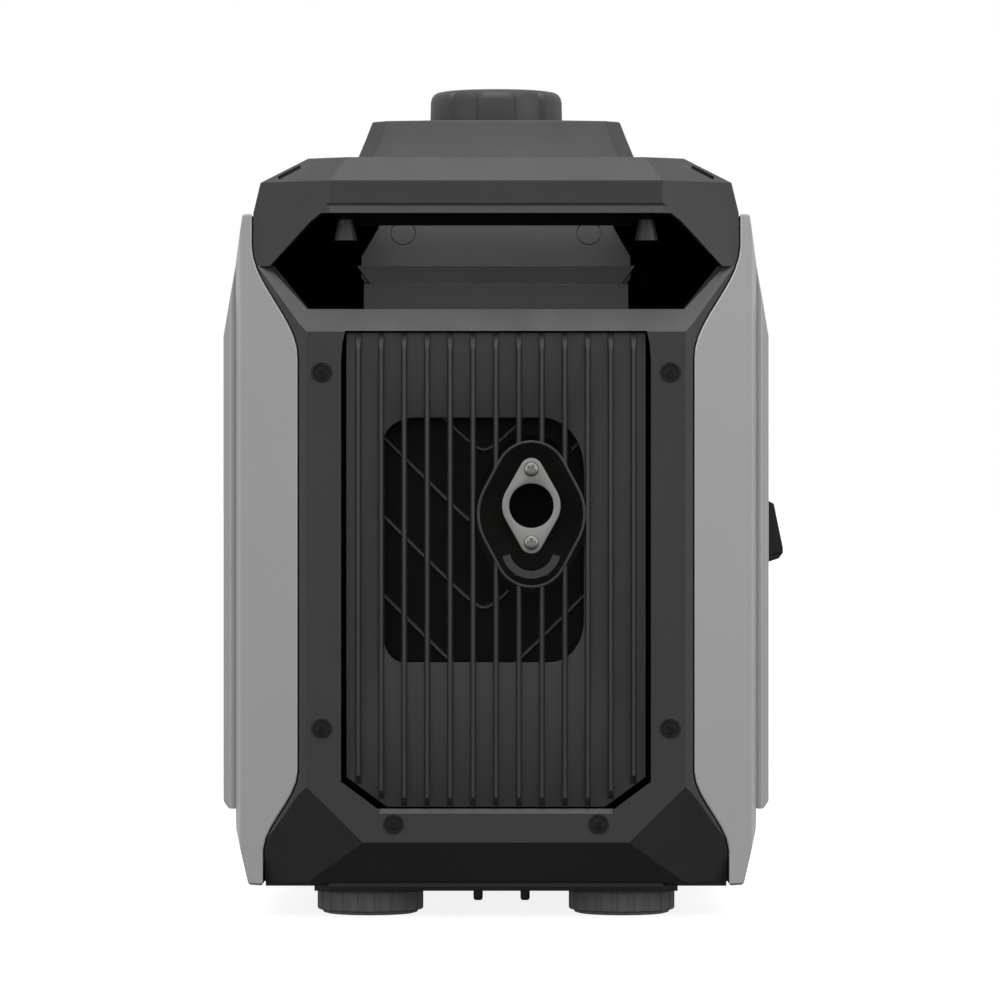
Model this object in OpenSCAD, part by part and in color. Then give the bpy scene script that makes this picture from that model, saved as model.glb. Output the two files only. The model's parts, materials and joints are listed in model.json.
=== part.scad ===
// Portable inverter generator in a carry case with a handle at each end.
// Millimetres, +Z up. The exhaust end faces -Y, the control panel faces +Y.
// The origin is on the ground, under the middle of the case.

/* [Case] */
// Length over the two end frames
case_l = 500; // [490:1:510]
// Width over the raised side panels
case_w = 290; // [288:1:292]
// Wall of the moulded covers
wall = 3; // [2.5:0.1:3.2]
// Height of the top of the handles
handle_top = 400; // [398:1:402]
// Height of the ground clearance under the base pan
foot_h = 16; // [14:1:18]

/* [Rear grille] */
// Number of upright fins
fin_count = 13; // [9:2:13]
// Spacing of the fins
fin_pitch = 12; // [11:0.1:12.2]
// Distance of the exhaust outlet from the middle
outlet_x = 18.5; // [16:0.5:20]
// Height of the exhaust outlet
outlet_z = 217; // [212:1:222]
// Bore radius of the exhaust outlet
outlet_r = 11.6; // [10:0.1:12]

/* [Fuel] */
// Radius of the fuel cap
cap_r = 38.8; // [36:0.2:40]
// Height of the top of the fuel cap
cap_top = 450.5; // [450:0.5:455]

/* [Engine] */
// Radius of the crankshaft journals
journal_r = 10; // [9:0.5:11]
// Running clearance of turning parts on their radius
run_gap = 0.05; // [0.02:0.01:0.09]
// Pitch radius of the rope on the starter pulley
rope_pulley_r = 32; // [30:1:33]

/* [Control panel] */
// Radius of the engine switch knob
knob_r = 19; // [16:0.5:20]

/* [Hidden] */
$fn = 48;

end_y = case_l / 2;
side_x = case_w / 2;
cover_x = side_x - 7;
pan_z = foot_h;
pan_y = end_y - 36.5;
drain_y = -pan_y + 8;
frame_low = 19;
split_z = 343;
cover_top = 371;
seam_x = 103;
gap = 0.6;
seam_step = 6;
ribs_w = 78.4;
ribs_low = 59;
ribs_high = 308;
ring_z = outlet_z - 4.5;
flange_pitch = 19.2;
screw_x = 91;
low_screw_x = 53.5;
deck_z = 398;
hand_w = 68;
nose_w = 72;
collar_top = 429;
collar_flare = [[deck_z + 2.2, 4], [410, -0.4], [419, -4], [collar_top - 0.01, -7.7]];
crank_y = -20;
crank_z = 150;
grip_y = -45;
grip_z = 203;
panel_y = end_y - 15;

// Smooth step from 0 to 1
function ease(t) = let (u = max(0, min(1, t))) u * u * (3 - 2 * u);

// Half width of the black end frame at height z: narrow at the waist, wide at top and bottom
function seam(z) = seam_x + 25 * ease((z - 295) / 59) + 19 * ease((78 - z) / 44);

// Heights at which the seam's outline has a point, the same ones for every piece that meets it
function stations(z0, z1) = concat(
    [z0], [for (z = [ceil((z0 + 0.1) / seam_step) * seam_step:seam_step:z1 - 0.1]) z], [z1]
);

// A list in reverse order
function reversed(v) = [for (i = [len(v) - 1:-1:0]) v[i]];

// Outline of an end frame between two heights, widened by d
function seam_points(z0, z1, d = 0) = concat(
    [for (z = stations(z0, z1)) [seam(z) + d, z]],
    [for (z = reversed(stations(z0, z1))) [-seam(z) - d, z]]
);

// Plan of the case with its bevelled corners, drawn in by d
function plan_points(d = 0) = let (
    q = [
        [99 - 0.2 * d, end_y - d], [103 - 0.4 * d, end_y - 3 - d],
        [cover_x - 3 - 0.8 * d, end_y - 33 - 0.6 * d], [cover_x - d, end_y - 42 - 0.3 * d]
    ]
) concat(
    [for (p = q) [p.x, -p.y]],
    [for (i = [3:-1:0]) [q[i].x, q[i].y]],
    [for (p = q) [-p.x, p.y]],
    [for (i = [3:-1:0]) [-q[i].x, -q[i].y]]
);

// Extrude a shape drawn in X and Z along Y
module along_y(y0, y1) {
    translate([0, y1, 0]) rotate([90, 0, 0]) linear_extrude(y1 - y0) children();
}

// Extrude a shape drawn in Y and Z along X
module along_x(x0, x1) {
    translate([x0, 0, 0]) rotate([90, 0, 90]) linear_extrude(x1 - x0) children();
}

// Block between two corners
module block(a, b) {
    translate(a) cube([b.x - a.x, b.y - a.y, b.z - a.z]);
}

// Round bar along Y at [x, z]
module bar_y(p, r, y0, y1) {
    translate([p.x, y1, p.y]) rotate([90, 0, 0]) cylinder(r = r, h = y1 - y0);
}

// Round bar along X at [y, z]
module bar_x(p, r, x0, x1) {
    translate([x0, p.x, p.y]) rotate([0, 90, 0]) cylinder(r = r, h = x1 - x0);
}

// Upright round bar at [x, y]
module bar_z(p, r, z0, z1) {
    translate([p.x, p.y, z0]) cylinder(r = r, h = z1 - z0);
}

// Draw the children at one end of the case, and turned round for the other
module at_end(front) {
    rotate([0, 0, front ? 180 : 0]) children();
}

// Screw along Y with its head at y0, facing -Y
module screw_y(p, y0, head_r, shank_r, len) {
    difference() {
        union() {
            bar_y(p, head_r, y0, y0 + 2.6);
            bar_y(p, shank_r, y0 + 2.6, y0 + len);
        }
        bar_y(p, head_r * 0.4, y0 - 1, y0 + 1.4);
    }
}

function end_screws() = [
    for (s = [-1, 1]) each [[s * screw_x, 286], [s * screw_x, 100], [s * low_screw_x, 50]]
];

// Ribbed panel outline with its two cut lower corners, grown by d
module ribs_outline(d = 0) {
    w = ribs_w + d;
    polygon([
        [-w, ribs_high + d], [-w, ribs_low + 15 - d / 2], [-w + 22, ribs_low - d],
        [w - 22, ribs_low - d], [w, ribs_low + 15 - d / 2], [w, ribs_high + d]
    ]);
}

// Shell of an end frame, open towards the engine, with the top cut to the hand hole
module end_frame_shell() {
    intersection() {
        along_y(-end_y, -end_y + 36) polygon(seam_points(frame_low, split_z));
        linear_extrude(split_z) polygon(plan_points());
        along_x(-side_x, side_x) polygon([
            [-end_y, 41], [-end_y + 20, frame_low], [-end_y + 40, frame_low],
            [-end_y + 40, split_z], [-end_y + 24, split_z], [-end_y, ribs_high]
        ]);
        difference() {
            along_y(-end_y - 1, -end_y + 40) polygon([
                [-side_x, 0], [side_x, 0], [side_x, split_z], [120, split_z],
                [98.7, 320], [-98.7, 320], [-120, split_z], [-side_x, split_z]
            ]);
            intersection() {
                along_y(-end_y, -end_y + 50)
                    polygon(seam_points(frame_low + wall, 317, -wall));
                translate([0, 0, 1]) linear_extrude(316) polygon(plan_points(wall));
                along_x(-side_x, side_x) polygon([
                    [-end_y + wall, 43], [-end_y + 20 + wall, frame_low + wall],
                    [-end_y + 60, frame_low + wall], [-end_y + 60, 317],
                    [-end_y + wall + 8, 317], [-end_y + wall, ribs_high - 2]
                ]);
                difference() {
                    along_y(-end_y - 1, -end_y + 60) square_plate([-side_x, 0], [side_x, 330]);
                    lower_corner_cuts(3.6);
                }
            }
        }
        difference() {
            along_y(-end_y - 1, -end_y + 60) square_plate([-side_x, 0], [side_x, split_z]);
            lower_corner_cuts(0);
        }
    }
}

// Slanting facets that cut off the two lower corners of an end frame, at a depth d
module lower_corner_cuts(d) {
    for (m = [0, 1]) mirror([m, 0, 0])
        translate([99, -end_y, 70]) rotate([0, 45.5, 0]) rotate([0, 0, 28.8])
            translate([-20, d - 60, -80]) cube([110, 60, 160]);
}

// Bosses behind the frame plate that take its screws
module frame_bosses() {
    for (p = end_screws()) bar_y(p, 7.5, -end_y + wall - 0.5, -end_y + 18);
}

module frame_screw_holes() {
    for (p = end_screws()) {
        bar_y(p, 5.8, -end_y - 1, -end_y + 2);
        bar_y(p, 4.7, -end_y - 1, -end_y + 4.8);
        bar_y(p, 2.5, -end_y - 1, -end_y + 30);
    }
}

// --- Base -----------------------------------------------------------------

module base_pan() color("#262626") difference() {
    union() {
        block([-117, -pan_y, pan_z], [117, pan_y, 44]);
        block([-88, -pan_y - 15, pan_z], [88, pan_y + 15, frame_low - 0.2]);
        block([-121.8, -pan_y, pan_z], [121.8, pan_y, frame_low - 0.2]);
        for (s = [-1, 1])
            block([-96, s * (pan_y + 0.4) - 1, pan_z - 2.6], [96, s * (pan_y + 0.4) + 1, pan_z + 1]);
    }
    block([-114, 3 - pan_y, pan_z + 5], [114, pan_y - 3, 45]);
    for (x = [-67, 67], y = [-185, 185]) bar_z([x, y], 3.5, 0, 30);
    for (x = [-9.5, 15.4]) bar_z([x, drain_y], 2.6, 0, 30);
    for (x = [-60:20:60]) block([x - 3, -20, 0], [x + 3, 60, 30]);
}

module rubber_feet() color("#1c1c1c") for (x = [-67, 67], y = [-185, 185]) {
    translate([x, y, 0]) rotate_extrude() polygon([
        [6, 4], [6, 0], [24, 0], [27, 1.5], [28.2, 5], [28.2, pan_z - 4],
        [25, pan_z], [3.5, pan_z], [3.5, 4]
    ]);
}

module foot_screws() color("#8a8a8a") for (x = [-67, 67], y = [-185, 185]) {
    bar_z([x, y], 5.4, 1.6, 4);
    bar_z([x, y], 3, 4, 25);
}

module drain_plugs() color("#5a5a5a") for (x = [-9.5, 15.4]) {
    translate([x, drain_y, 0]) rotate_extrude() polygon([
        [0, 8], [1.8, 8], [2.5, 9], [2.5, 13.4], [5.2, 14], [5.2, pan_z],
        [2.5, pan_z], [2.5, 24], [0, 24]
    ]);
}

// --- Rear end -------------------------------------------------------------

module rear_frame() color("#333333") difference() {
    union() {
        end_frame_shell();
        frame_bosses();
    }
    along_y(-end_y - 1, -end_y + 60) polygon([
        [-78.8, 308.4], [-80.3, 302], [-81, 293], [-81, 72.7], [-62, 58.6], [62, 58.6],
        [81, 72.7], [81, 293], [80.3, 302], [78.8, 308.4]
    ]);
    along_y(-end_y + wall, -end_y + 60) ribs_outline(3.6);
    along_x(-61, 61) polygon([[-end_y - 0.6, 55.6], [-end_y + 2.8, 59], [-end_y - 0.6, 59]]);
    frame_screw_holes();
}

// Quarter of an ellipse about c, starting at angle a
function corner(c, rx, rz, a) = [for (i = [0:6]) [c.x + rx * cos(a + i * 15), c.y + rz * sin(a + i * 15)]];

// Window in the ribbed panel, with a different round on each corner
module window_outline() {
    polygon(concat(
        corner([24, 236], 22, 27, 0), corner([-42, 250], 17, 13, 90),
        corner([-48, 149], 11, 14, 180), corner([28, 157], 18, 22, 270)
    ));
}

// Outline round a circle and two smaller ones above and below it, at a distance d
function lens_points(big, small, d) = let (a = asin((big - small) / d), n = 8) concat(
    [for (i = [0:n]) let (t = a + (180 - 2 * a) * i / n) [small * cos(t), d + small * sin(t)]],
    [for (i = [0:n]) let (t = 180 - a + 2 * a * i / n) [big * cos(t), big * sin(t)]],
    [for (i = [0:n]) let (t = 180 + a + (180 - 2 * a) * i / n) [small * cos(t), -d + small * sin(t)]],
    [for (i = [0:n]) let (t = -a + 2 * a * i / n) [big * cos(t), big * sin(t)]]
);

// Rounded diamond round the exhaust outlet, grown by d
module outlet_ring_outline(d = 0) {
    translate([outlet_x, ring_z]) polygon(lens_points(28.5 + d, 19.5 + d, flange_pitch));
}

module rear_grille() color("#2e2e2e") {
    fin_y = -end_y + 0.5;
    difference() {
        union() {
            along_y(-end_y + 4, -end_y + 7.5) difference() {
                ribs_outline();
                window_outline();
                outlet_ring_outline(-0.1);
            }
            along_y(fin_y, -end_y + 14) outlet_ring_outline();
            for (i = [0:fin_count - 1]) {
                x = (i - (fin_count - 1) / 2) * fin_pitch;
                low = ribs_low + max(4, 15 - (ribs_w - abs(x)) * 0.7);
                along_x(x - 1.5, x + 1.5) polygon([
                    [-end_y + 7, low], [-end_y + 4, low], [fin_y, low + 6],
                    [fin_y, ribs_high - 9], [-end_y + 4, ribs_high - 0.5],
                    [-end_y + 7, ribs_high - 0.5]
                ]);
            }
            along_y(-end_y + 7, -end_y + 9) difference() {
                ribs_outline(3.1);
                ribs_outline(-7);
            }
            for (x = [-72, 72], z = [80, 290]) bar_y([x, z], 5, -end_y + 6, -end_y + 20);
        }
        along_y(-end_y - 1, -end_y + 30) outlet_ring_outline(-1.6);
    }
}

module frame_screws() color("#1a1a1a") for (f = [false, true]) at_end(f) {
    for (p = end_screws()) screw_y(p, -end_y + 2, 4.4, 2.1, 16);
}

module heat_shield() color("#141414") difference() {
    along_y(-end_y + 17, -end_y + 18.5) square_plate([-63, 118], [63, 282]);
    along_y(-end_y, -end_y + 30) outlet_ring_outline(3);
}

// Rectangle between two corners
module square_plate(a, b) {
    translate(a) square([b.x - a.x, b.y - a.y]);
}

module muffler() color("#55504a") difference() {
    union() {
        hull() for (x = [-42, 62], z = [168, 266]) {
            translate([x, -150, z]) rotate([90, 0, 0]) cylinder(r = 18, h = 74, $fn = 32);
        }
        bar_y([outlet_x, outlet_z], 15, -end_y + 7.5, -220);
        bar_y([-10, 236], 11, -152, -66);
    }
    bar_y([outlet_x, outlet_z], outlet_r, -end_y, -200);
    for (s = [-1, 1]) bar_y([outlet_x, outlet_z + s * flange_pitch], 2, -end_y, -210);
    bar_y([-10, 236], 8, -180, -60);
}

module outlet_flange() color("#9c9c9c") difference() {
    along_y(-end_y + 4, -end_y + 7) translate([outlet_x, outlet_z])
        polygon(lens_points(15.4, 6, flange_pitch));
    bar_y([outlet_x, outlet_z], outlet_r, -end_y, -200);
    for (s = [-1, 1]) bar_y([outlet_x, outlet_z + s * flange_pitch], 2.3, -end_y, -200);
}

module flange_screws() color("#b0b0b0") for (s = [-1, 1]) {
    screw_y([outlet_x, outlet_z + s * flange_pitch], -end_y + 1.4, 3.9, 1.9, 16);
}

module outlet_deflector() color("#444444") {
    translate([outlet_x, -end_y + 7, outlet_z - 22.5]) rotate([90, 0, 0])
        rotate([0, 0, -165]) rotate_extrude(angle = 150) translate([11.6, 0]) square([4, 4]);
    for (x = [-7, 7])
        block([outlet_x + x - 2, -end_y + 4, outlet_z - 36.6],
            [outlet_x + x + 2, -end_y + 16.8, outlet_z - 34]);
}

// --- Front end ------------------------------------------------------------

// Tube between the frame's face and the sunk control panel
module panel_surround() difference() {
    along_y(-end_y + 1, -panel_y - 0.2) square_plate([-82.5, 63.5], [82.5, 306.5]);
    along_y(-end_y - 1, -end_y + 60) square_plate([-80, 66], [80, 304]);
}

module front_frame() color("#333333") at_end(true) difference() {
    union() {
        end_frame_shell();
        frame_bosses();
        panel_surround();
    }
    along_y(-end_y - 1, -end_y + 60) square_plate([-80, 66], [80, 304]);
    frame_screw_holes();
}

// --- Top ------------------------------------------------------------------

// Cross-section of the top cover and handles above the split line
function top_points(d = 0) = concat(
    [for (z = stations(split_z, cover_top)) [seam(z) - d, z]],
    [[124 - d, 387 - d / 2], [99 - d / 2, handle_top - d], [-99 + d / 2, handle_top - d],
     [-124 + d, 387 - d / 2]],
    [for (z = reversed(stations(split_z, cover_top))) [-seam(z) + d, z]]
);

// Hand hole seen from the end, above the split line
module hand_hole_outline(d = 0) {
    polygon([
        [-120 - d, split_z - 1], [-97 - d, 366], [-91.5 - d, 370 + d], [91.5 + d, 370 + d],
        [97 + d, 366], [120 + d, split_z - 1]
    ]);
}

// One carrying handle: an arch across the end of the case, hollow from below
module handle_arch() difference() {
    intersection() {
        along_y(-end_y, -end_y + 30) polygon(top_points());
        along_x(-side_x, side_x) polygon([
            [-end_y, split_z], [-end_y, 387], [-end_y + 14, handle_top],
            [-end_y + 30, handle_top], [-end_y + 30, split_z]
        ]);
        hull() {
            linear_extrude(387) polygon([
                [-side_x, -end_y + 42], [-124, -end_y + 23.5], [-87, -end_y], [87, -end_y],
                [124, -end_y + 23.5], [side_x, -end_y + 42]
            ]);
            linear_extrude(handle_top) polygon([
                [-101, -end_y + 32], [-101, -end_y + 29], [-78, -end_y + 14],
                [78, -end_y + 14], [101, -end_y + 29], [101, -end_y + 32]
            ]);
        }
    }
    along_y(-end_y - 1, -end_y + 40) hand_hole_outline();
    along_x(-85.5, 85.5) polygon([
        [-end_y + wall, 360], [-end_y + wall, 386], [-end_y + 15, handle_top - wall],
        [-end_y + 27, handle_top - wall], [-end_y + 27, 360]
    ]);
}

module rear_handle() color("#3c3c3c") handle_arch();

module front_handle() color("#3c3c3c") at_end(true) handle_arch();

// Underside of a handle, with the sleeves of its two screws
module grip_liner() difference() {
    union() {
        block([-83.7, -end_y + 3.3, 370.2], [83.7, -end_y + 26.7, 374]);
        block([-83.7, -end_y + 24.2, 364.6], [83.7, -end_y + 26.7, 371]);
        for (x = [-79, 79]) {
            translate([x, -end_y + 15, 356.2]) cylinder(r1 = 6.1, r2 = 3.9, h = 10.8);
            bar_z([x, -end_y + 15], 3.9, 366, 372);
        }
    }
    for (x = [-79, 79]) {
        bar_z([x, -end_y + 15], 2.4, 356, 380);
        bar_z([x, -end_y + 15], 3.6, 356, 360.2);
    }
}

module rear_grip_liner() color("#202020") grip_liner();

module front_grip_liner() color("#202020") at_end(true) grip_liner();

module grip_screws() color("#777777") for (f = [false, true]) at_end(f) {
    for (x = [-79, 79]) {
        bar_z([x, -end_y + 15], 3.4, 357.2, 360);
        bar_z([x, -end_y + 15], 2, 360, 390);
    }
}

// Roof between the handles, with side rails, and a hand pocket sunk in each end
module top_cover() color("#383838") {
    difference() {
        along_y(-end_y + 30.2, end_y - 30.2) polygon(top_points());
        along_y(-end_y, end_y) polygon(top_points(wall));
        along_y(-end_y, end_y) square_plate([-108, split_z - 1], [108, 360]);
        for (f = [false, true]) at_end(f)
            block([-hand_w, -end_y, 380], [hand_w, -end_y + 66, handle_top + 1]);
        linear_extrude(handle_top + 1) collar_plan(-1.5);
    }
    for (f = [false, true]) at_end(f) hand_pocket();
}

// Closed pocket behind a handle, with a stepped nose in front of the tank
module hand_pocket() {
    along_y(-end_y + 36.4, -end_y + 84) polygon([
        [-121.5, 344], [-98.9, 317], [98.9, 317], [121.5, 344],
        [117, 344], [97.5, 319.6], [-97.5, 319.6], [-117, 344]
    ]);
    along_y(-end_y + 82, -end_y + 85) polygon([
        [-98.9, 317], [98.9, 317], [121.5, 344], [123, 371], [119, 386], [98, 398],
        [-98, 398], [-119, 386], [-123, 371], [-121.5, 344]
    ]);
    intersection() {
        along_x(-nose_w, nose_w) polygon([
            [-end_y + 36.4, 318], [-end_y + 41, 334.3], [-end_y + 50, 335.3], [-end_y + 50, 343],
            [-end_y + 70, 398], [-end_y + 83, 398], [-end_y + 83, 318]
        ]);
        along_y(-end_y + 30, -end_y + 90) polygon([
            [-nose_w + 2, 317], [nose_w - 2, 317], [nose_w - 2, 336], [nose_w - 0.5, 338],
            [nose_w - 0.5, 349.4], [62.6, 365], [62.6, 399], [-62.6, 399], [-62.6, 365],
            [-nose_w + 0.5, 349.4], [-nose_w + 0.5, 338], [-nose_w + 2, 336]
        ]);
    }
    along_y(-end_y + 46, -end_y + 56) polygon([
        [-66.7, 334.6], [66.7, 334.6], [nose_w + 2, 344.3], [-nose_w - 2, 344.3]
    ]);
}

// Raised collar over the tank, a ring of sloping walls with a flat top
module tank_collar() color("#3a3a3a") difference() {
    union() {
        for (i = [0:2]) hull() for (k = [i, i + 1])
            translate([0, 0, collar_flare[k].x]) linear_extrude(0.01) collar_plan(collar_flare[k].y);
        translate([0, 0, deck_z - 5.5]) linear_extrude(7.8) collar_plan(-3);
    }
    translate([0, 0, deck_z - 9]) linear_extrude(collar_top - deck_z + 6) collar_plan(-10);
    bar_z([0, 0], 45, 380, collar_top + 1);
}

module collar_plan(d) {
    w = 76 + d;
    h = 99 + d;
    q = [[w - 42, h], [w - 8, h - 7], [w, h - 16]];
    polygon(concat(
        [for (p = q) [p.x, -p.y]], [for (p = reversed(q)) p],
        [for (p = q) [-p.x, p.y]], [for (p = reversed(q)) -p]
    ));
}

// --- Sides ----------------------------------------------------------------

// Right-hand cover: the flat side with its bevelled corners, open inwards
module side_cover() difference() {
    intersection() {
        along_y(-end_y, end_y) side_outline(0);
        linear_extrude(cover_top) polygon(plan_points());
    }
    intersection() {
        along_y(-end_y, end_y) side_outline(wall - 0.5);
        translate([0, 0, 1]) linear_extrude(cover_top) polygon(plan_points(wall - 0.5));
    }
}

// Side region outside the end frames, drawn in by d
module side_outline(d) {
    low = 17 + d;
    high = cover_top - d;
    reach = d > 0 ? 40 : 0;
    polygon(concat(
        [[130.6 - d, low], [137.5 - d, 45], [cover_x - d, 60], [cover_x - d, 345], [134 - d, high]],
        [for (z = reversed(stations(low, high))) [seam(z) + gap - reach, z]]
    ));
}

// Raised panel on the right-hand side, hollow behind
module panel_slab() difference() {
    intersection() {
        along_y(-200, 200) polygon([
            [cover_x + 0.3, 56], [side_x - 3, 56], [side_x, 60], [side_x, 307], [cover_x + 0.3, 345]
        ]);
        linear_extrude(360) polygon([
            [cover_x - 1, -204], [side_x, -196], [side_x, 196], [cover_x - 1, 204]
        ]);
    }
    for (y = [[-190, grip_y - 56], [grip_y + 56, 110], [150, 190]])
        block([cover_x, y[0], 66], [side_x - wall, y[1], 300]);
}

// Block through the side at the starter grip, grown by d
module grip_slot(d = 0, x0 = cover_x - 20) {
    block([x0, grip_y - 49 - d, grip_z - 21 - d], [side_x + 1, grip_y + 49 + d, grip_z + 21 + d]);
}

// Right-hand cover with the cup that the starter grip sits in
module right_side_cover() color("#9a9a9a") difference() {
    union() {
        side_cover();
        intersection() {
            grip_slot(1.6);
            block([cover_x - 7, grip_y - 60, grip_z - 40], [cover_x - 1, grip_y + 60, grip_z + 40]);
        }
    }
    grip_slot(0, cover_x - 5.4);
    bar_x([grip_y, grip_z], 4.5, cover_x - 10, cover_x);
}

module left_side_cover() color("#9a9a9a") mirror([1, 0, 0]) difference() {
    side_cover();
    bar_x([130, 190], 8, 100, 160);
}

module right_panel() color("#a4a4a4") difference() {
    panel_slab();
    grip_slot();
}

module left_service_panel() color("#a4a4a4") mirror([1, 0, 0]) difference() {
    panel_slab();
    bar_x([130, 190], 9, 100, side_x - 3);
    bar_x([130, 190], 11, side_x - 3, side_x + 1);
}

// Coin-slot screw that holds the service panel
module service_latch() color("#2a2a2a") {
    bar_x([130, 190], 10.5, -side_x + 0.3, -side_x + 2.6);
    bar_x([130, 190], 7, -side_x + 2.6, -side_x + 16);
    block([-side_x + 13, 120, 187], [-side_x + 16, 140, 193]);
    block([-side_x - 6, 121.5, 187.6], [-side_x + 0.5, 138.5, 192.4]);
}

// --- Fuel -----------------------------------------------------------------

// Upright block with round corners, shrunk by d
module round_block(a, b, r, d) {
    translate([0, 0, a.z + d]) linear_extrude(b.z - a.z - 2 * d) hull()
        for (x = [a.x + r, b.x - r], y = [a.y + r, b.y - r])
            translate([x, y]) circle(r = r - d, $fn = 32);
}

module fuel_tank() color("#1b1b1b") difference() {
    round_block([-68, -150, 302], [68, 150, 392], 22, 0);
    round_block([-68, -150, 302], [68, 150, 392], 22, 3);
    bar_z([0, 0], 24, 380, 400);
    bar_z([40, 90], 4, 295, 310);
}

module filler_neck() color("#222222") rotate_extrude() polygon([
    [20, 370], [24, 370], [24, 392], [34, 392], [34, 395], [26, 395], [26, 436], [20, 436]
]);

module cap_gasket() color("#101010") translate([0, 0, 436]) rotate_extrude()
    translate([20.5, 0]) square([5, 2]);

module fuel_cap() color("#303030") difference() {
    union() {
        rotate_extrude() polygon([
            [0, 438.2], [27.5, 438.2], [27.5, 427], [cap_r - 3.4, 427], [cap_r - 2.4, 430],
            [cap_r - 2.4, cap_top - 6], [cap_r - 3, cap_top - 3], [cap_r - 4.4, cap_top - 1.2],
            [cap_r - 7, cap_top - 0.2], [0, cap_top - 0.2]
        ]);
        for (i = [0:5]) rotate([0, 0, i * 60 + 14]) rotate_extrude(angle = 32) polygon([
            [cap_r - 5, 428], [cap_r, 428], [cap_r, cap_top - 6.5], [cap_r - 1.2, cap_top - 3.4],
            [cap_r - 3.2, cap_top - 1.6], [cap_r - 5, cap_top - 1.6]
        ]);
    }
    bar_z([0, 0], 18.5, cap_top - 7, cap_top + 1);
    bar_z([0, 0], 3 + run_gap, cap_top - 12, cap_top);
}

module vent_lever() color("#4a4a4a") {
    bar_z([0, 0], 7.6, cap_top - 6.6, cap_top);
    bar_z([0, 0], 3, cap_top - 11.5, cap_top - 6);
    block([0, -3, cap_top - 6.6], [16, 3, cap_top]);
}

// --- Engine ---------------------------------------------------------------

module crankcase() color("#8d8d8d") difference() {
    union() {
        block([-60, -75, 50], [40, 35, 196]);
        bar_x([crank_y, crank_z], 22, 38, 52);
    }
    bar_x([crank_y, crank_z], 43, -61, 25.5);
    bar_x([crank_y, crank_z], 17.5, 25, 41);
    bar_x([crank_y, crank_z], 14, 40, 53);
    bar_z([-10, crank_y], 24, 190, 210);
    for (y = [-62, 22]) bar_z([-48, y], 4, 40, 60);
    for (y = [-62, 22]) bar_z([28, y], 4, 40, 60);
    bar_x([20, 72], 9, -62, -40);
}

module crankcase_cover() color("#959595") difference() {
    block([-72, -75, 50], [-60.1, 35, 196]);
    bar_x([crank_y, crank_z], 17.5, -70, -60);
    bar_x([20, 72], 9, -80, -50);
}

module cylinder_barrel() color("#8a8a8a") difference() {
    union() {
        bar_z([-10, crank_y], 30, 196.1, 246);
        for (i = [0:5]) block([-52, -62, 201 + i * 8], [32, 22, 203.5 + i * 8]);
    }
    bar_z([-10, crank_y], 24, 190, 250);
}

module cylinder_head() color("#929292") difference() {
    union() {
        block([-52, -62, 246.1], [32, 22, 262]);
        for (i = [0:6]) block([-50 + i * 12.5, -60, 262], [-47 + i * 12.5, 20, 276]);
        block([-34, -44, 262], [14, 4, 296]);
    }
    bar_z([-10, crank_y], 22, 240, 252);
    bar_x([crank_y, 254], 5, -60, -30);
}

module spark_plug() color("#e8e4da") {
    bar_x([crank_y, 254], 5, -62, -34);
    bar_x([crank_y, 254], 8, -66, -52.1);
    bar_x([crank_y, 254], 4, -88, -66);
    difference() {
        bar_x([crank_y, 254], 9, -100, -72);
        bar_x([crank_y, 254], 4.2, -92, -70);
    }
}

module crankshaft() color("#b8b8b8") {
    bar_x([crank_y, crank_z], journal_r, -69.5, -32);
    bar_x([crank_y, crank_z], journal_r, 8, 100);
    for (x = [-32, 0]) bar_x([crank_y, crank_z], 38, x, x + 8);
    bar_x([crank_y, crank_z + 20], 12, -24.5, 0.5);
}

module main_bearings() color("#c8c8c8") for (x = [-70, 26]) difference() {
    bar_x([crank_y, crank_z], 17.5, x, x + (x < 0 ? 9.8 : 13));
    bar_x([crank_y, crank_z], journal_r + run_gap, x - 1, x + 20);
}

module flywheel() color("#6f6f6f") difference() {
    bar_x([crank_y, crank_z], 62, 55, 86);
    bar_x([crank_y, crank_z], 54, 50, 80);
    bar_x([crank_y, crank_z], journal_r, 50, 100);
}

module cooling_fan() color("#2c2c2c") difference() {
    union() {
        bar_x([crank_y, crank_z], 62, 86, 89);
        for (i = [0:11]) translate([89, crank_y, crank_z]) rotate([i * 30, 0, 0])
            block([0, 30, -1.5], [11, 61, 1.5]);
    }
    bar_x([crank_y, crank_z], journal_r, 50, 120);
}

module stator() color("#b5713a") difference() {
    union() {
        bar_x([crank_y, crank_z], 30, 56, 78);
        for (i = [0:11]) translate([0, crank_y, crank_z]) rotate([i * 30, 0, 0])
            block([57, 25, -6], [77, 51, 6]);
        bar_x([crank_y, crank_z], 22, 52.1, 58);
    }
    bar_x([crank_y, crank_z], 16, 40, 90);
}

module recoil_housing() color("#444444") difference() {
    bar_x([crank_y, crank_z], 69, 44, 130);
    bar_x([crank_y, crank_z], 66, 43, 127);
    for (i = [0:7]) translate([0, crank_y, crank_z]) rotate([i * 45, 0, 0])
        block([120, 40, -6], [140, 58, 6]);
    bar_x([grip_y, grip_z], 4, 126, 131);
}

module starter_pulley() color("#3a3a3a") difference() {
    bar_x([crank_y, crank_z], rope_pulley_r + 6, 106, 118);
    difference() {
        bar_x([crank_y, crank_z], rope_pulley_r + 7, 109, 115);
        bar_x([crank_y, crank_z], rope_pulley_r - 2, 109, 115);
    }
    bar_x([crank_y, crank_z], 6 + run_gap, 100, 120);
    bar_x([crank_y, crank_z], 28, 114, 119);
}

spring_turns = 6;
spring_steps = 16 * spring_turns;

// Point on the spring's spiral, moved out by w
function spring_point(i, w) = let (
    a = 360 * spring_turns * i / spring_steps,
    r = 9 + 17 * i / spring_steps + w
) [crank_y + r * cos(a), crank_z + r * sin(a)];

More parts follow.
